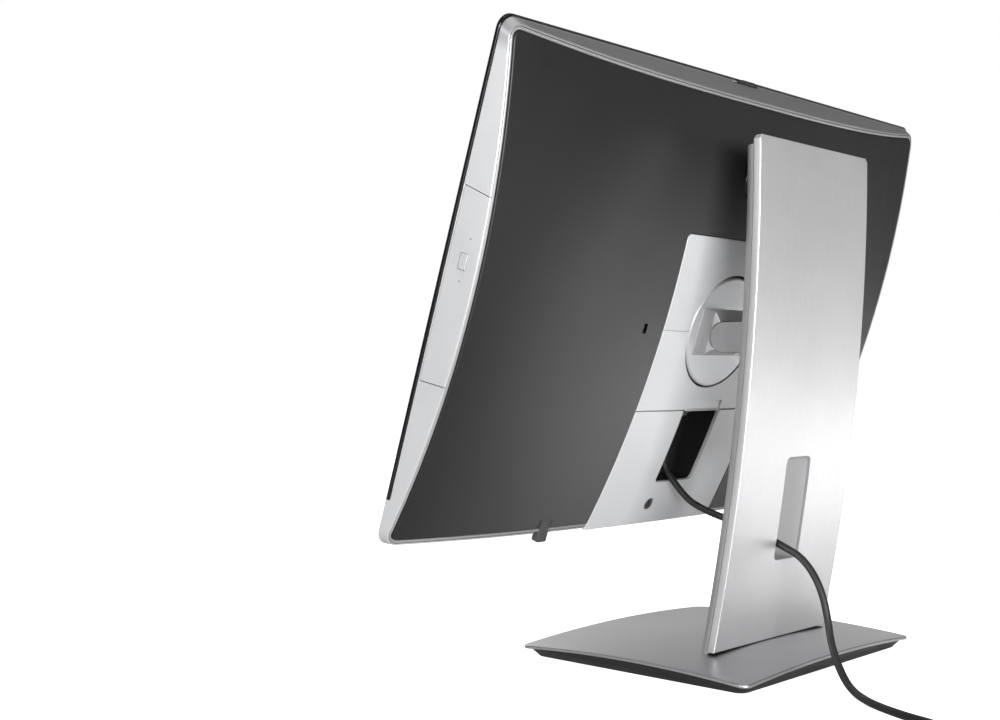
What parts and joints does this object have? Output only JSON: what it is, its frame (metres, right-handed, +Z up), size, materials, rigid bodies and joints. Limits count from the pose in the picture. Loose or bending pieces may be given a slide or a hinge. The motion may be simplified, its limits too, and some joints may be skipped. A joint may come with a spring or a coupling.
{
  "type": "all-in-one computer",
  "caption": "All-in-one desktop computer seen as a slim curved-back head with a tray drive, on a lift, tilt, swivel and pivot stand with a flat foot and a mains lead",
  "frame": {"origin": "on the table under the middle of the foot plate", "axes": "+Z up, +X towards the optical drive's side of the head, the screen faces -Y; metres"},
  "size_m": [0.56, 0.4378, 0.4525],
  "materials": {
    "screen_glass": "gloss",
    "silver_plastic": "satin",
    "charcoal_plastic": "satin",
    "light_plastic": "satin",
    "black_plastic": "matte",
    "gloss_black": "gloss",
    "grey_plastic": "satin",
    "brushed_aluminium": "brushed",
    "cast_aluminium": "satin",
    "steel": "satin",
    "display": "satin",
    "board": "satin",
    "perforated_steel": "matte",
    "rubber": "matte",
    "lead_jacket": "matte"
  },
  "bodies": {
    "turntable": {"turntable": "steel", "foot_ring": "rubber", "power_cord_5": "lead_jacket", "cord_coil": "lead_jacket", "mains_plug": "black_plastic"},
    "stand": {"base_plate": "brushed_aluminium", "base_pan": "black_plastic", "column_rear_shell": "brushed_aluminium", "column_front_shell": "grey_plastic", "slot_liner": "grey_plastic", "guide_rail_drive_side": "steel", "guide_rail_far_side": "steel", "rail_bracket_lower": "steel", "rail_bracket_upper": "steel", "lift_spring": "steel", "spring_pin": "steel", "column_foot": "steel", "power_cord_4": "lead_jacket"},
    "lift": {"lift_arm": "cast_aluminium", "tilt_pin": "steel", "lift_carriage": "cast_aluminium", "power_cord_3": "lead_jacket"},
    "tilt": {"mount_disc": "cast_aluminium", "power_cord_2": "lead_jacket"},
    "tray": {"disc_tray": "black_plastic", "drive_bezel": "silver_plastic"},
    "eject_button": {"eject_button": "silver_plastic"},
    "power_button": {"power_button": "silver_plastic"},
    "shutter": {"webcam_shutter": "black_plastic"},
    "cover_tab": {"port_cover_tab": "light_plastic"},
    "latch_drive_side": {"cover_latch_drive_side": "black_plastic"},
    "latch_far_side": {"cover_latch_far_side": "black_plastic"},
    "fan": {"fan_impeller": "black_plastic"},
    "head": {"front_glass": "screen_glass", "mid_frame": "silver_plastic", "speaker_grille": "perforated_steel", "rear_cover": "charcoal_plastic", "round_badge": "gloss_black", "upper_panel": "light_plastic", "port_cover": "light_plastic", "cover_screw": "steel", "lcd_panel": "display", "chassis_plate": "steel", "main_board": "board", "heat_sink": "cast_aluminium", "fan_housing": "black_plastic", "memory_module": "board", "storage_drive": "cast_aluminium", "power_supply": "cast_aluminium", "speaker_drive_side": "black_plastic", "speaker_far_side": "black_plastic", "webcam_module": "black_plastic", "optical_drive": "steel", "pivot_bearing": "cast_aluminium", "port_bay": "black_plastic", "power_inlet": "black_plastic", "usb_ports": "steel", "cord_connector": "black_plastic", "strain_relief": "rubber", "power_cord_1": "lead_jacket"}
  },
  "joints": [
    {"name": "swivel", "type": "hinge", "parent": "turntable", "child": "stand", "pos_m": [0, 0, 0], "axis": [0, 0, 1], "range_deg": [-45, 45], "deforming": ["power_cord_4"]},
    {"name": "lift", "type": "slide", "parent": "stand", "child": "lift", "axis": [0, 0, 1], "range_m": [-0.045, 0.065], "deforming": ["power_cord_3"]},
    {"name": "tilt", "type": "hinge", "parent": "lift", "child": "tilt", "pos_m": [0, 0.01754, 0.25028], "axis": [1, 0, 0], "range_deg": [-1.36, 23.64], "deforming": ["power_cord_2"]},
    {"name": "pivot", "type": "hinge", "parent": "tilt", "child": "head", "pos_m": [0, -0.03884, 0.2693], "axis": [0, 0.9475, -0.3196], "range_deg": [0, 15], "deforming": ["power_cord_1"]},
    {"name": "fan_spin", "type": "hinge", "parent": "head", "child": "fan", "pos_m": [-0.066, 0.0096, 0.35375], "axis": [0, 0.9475, -0.3196], "continuous": true},
    {"name": "tray", "type": "slide", "parent": "head", "child": "tray", "axis": [1, 0, 0], "range_m": [0, 0.118]},
    {"name": "eject", "type": "slide", "parent": "tray", "child": "eject_button", "axis": [-1, 0, 0], "range_m": [0, 0.0012], "stiffness_N_per_m": 30},
    {"name": "power", "type": "slide", "parent": "head", "child": "power_button", "axis": [0, 0.9475, -0.3196], "range_m": [0, 0.0012], "stiffness_N_per_m": 30},
    {"name": "shutter", "type": "slide", "parent": "head", "child": "shutter", "axis": [1, 0, 0], "range_m": [0, 0.008]},
    {"name": "cover_tab", "type": "slide", "parent": "head", "child": "cover_tab", "axis": [0, -0.9475, 0.3196], "range_m": [0, 0.0015], "stiffness_N_per_m": 60},
    {"name": "latch_drive_side", "type": "slide", "parent": "head", "child": "latch_drive_side", "axis": [1, 0, 0], "range_m": [0, 0.004]},
    {"name": "latch_far_side", "type": "slide", "parent": "head", "child": "latch_far_side", "axis": [-1, 0, 0], "range_m": [0, 0.004]}
  ]
}
